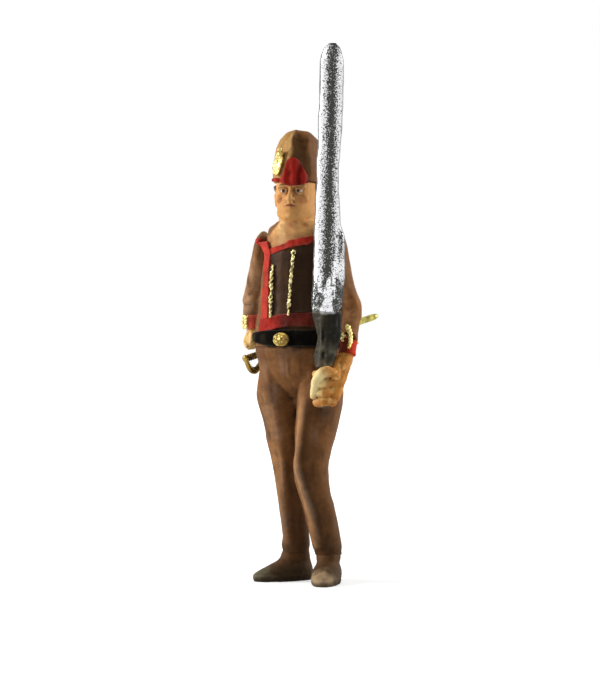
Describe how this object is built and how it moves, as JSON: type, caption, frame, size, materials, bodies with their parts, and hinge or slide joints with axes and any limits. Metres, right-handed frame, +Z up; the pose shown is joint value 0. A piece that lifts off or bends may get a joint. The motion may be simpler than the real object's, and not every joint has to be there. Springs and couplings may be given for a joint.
{
  "type": "toy soldier figure",
  "caption": "Standing painted toy soldier in a brown uniform and cap, holding a tall upright sword, with a sabre at the belt; head, waist and arms turn on pegs.",
  "frame": {"origin": "point on the floor under the body's upright axis, between the two boots, level with both soles", "axes": "+Z up along the body, -Y the way the figure faces, +X towards the figure's left side"},
  "size_m": [0.0199, 0.0252, 0.0722],
  "materials": {
    "uniform_brown": "satin",
    "panel_brown": "satin",
    "trim_red": "satin",
    "gold_paint": "satin metallic",
    "skin_paint": "satin",
    "belt_black": "satin",
    "boot_brown": "satin",
    "silver_paint": "satin metallic",
    "grip_charcoal": "satin"
  },
  "bodies": {
    "legs": {"trousers": "uniform_brown", "left_boot": "boot_brown", "right_boot": "boot_brown"},
    "torso": {"tunic": "uniform_brown", "chest_panel": "panel_brown", "front_piping": "trim_red", "neck_piping": "trim_red", "side_piping": "trim_red", "hem_piping": "trim_red", "side_lace": "gold_paint", "centre_lace": "gold_paint", "belt": "belt_black", "buckle": "gold_paint", "sabre_frog": "belt_black", "scabbard": "gold_paint"},
    "sabre": {"sabre_hilt": "gold_paint", "sabre_grip": "panel_brown", "sabre_blade": "silver_paint"},
    "head": {"head": "skin_paint"},
    "cap": {"cap": "uniform_brown", "cap_flap": "trim_red", "cap_badge": "gold_paint"},
    "left_arm": {"left_sleeve": "uniform_brown", "left_cuff": "trim_red", "left_cuff_lace": "gold_paint", "left_hand": "skin_paint"},
    "right_arm": {"right_sleeve": "uniform_brown", "right_cuff": "trim_red", "right_cuff_lace": "gold_paint", "right_hand": "skin_paint"},
    "sword": {"sword_grip": "grip_charcoal", "sword_collar": "silver_paint", "sword_blade": "silver_paint"}
  },
  "joints": [
    {"name": "waist_turn", "type": "hinge", "parent": "legs", "child": "torso", "pos_m": [0, 0, 0.0319], "axis": [0, 0, 1], "range_deg": [-60, 60]},
    {"name": "neck_turn", "type": "hinge", "parent": "torso", "child": "head", "pos_m": [0, -0.001, 0.0482], "axis": [0, 0, 1], "range_deg": [-90, 90]},
    {"name": "cap_lift", "type": "slide", "parent": "head", "child": "cap", "axis": [0, 0, 1], "range_m": [0, 0.008]},
    {"name": "left_shoulder", "type": "hinge", "parent": "torso", "child": "left_arm", "pos_m": [0.0042, 0, 0.0462], "axis": [-1, 0, 0], "range_deg": [0, 120]},
    {"name": "right_shoulder", "type": "hinge", "parent": "torso", "child": "right_arm", "pos_m": [-0.0042, 0, 0.0462], "axis": [-1, 0, 0], "range_deg": [-30, 150]},
    {"name": "sword_pull", "type": "slide", "parent": "left_arm", "child": "sword", "axis": [0.0122, 0.0314, 0.9994], "range_m": [0, 0.007]},
    {"name": "sabre_draw", "type": "slide", "parent": "torso", "child": "sabre", "axis": [-0.5235, -0.8062, -0.2756], "range_m": [0, 0.012]}
  ]
}
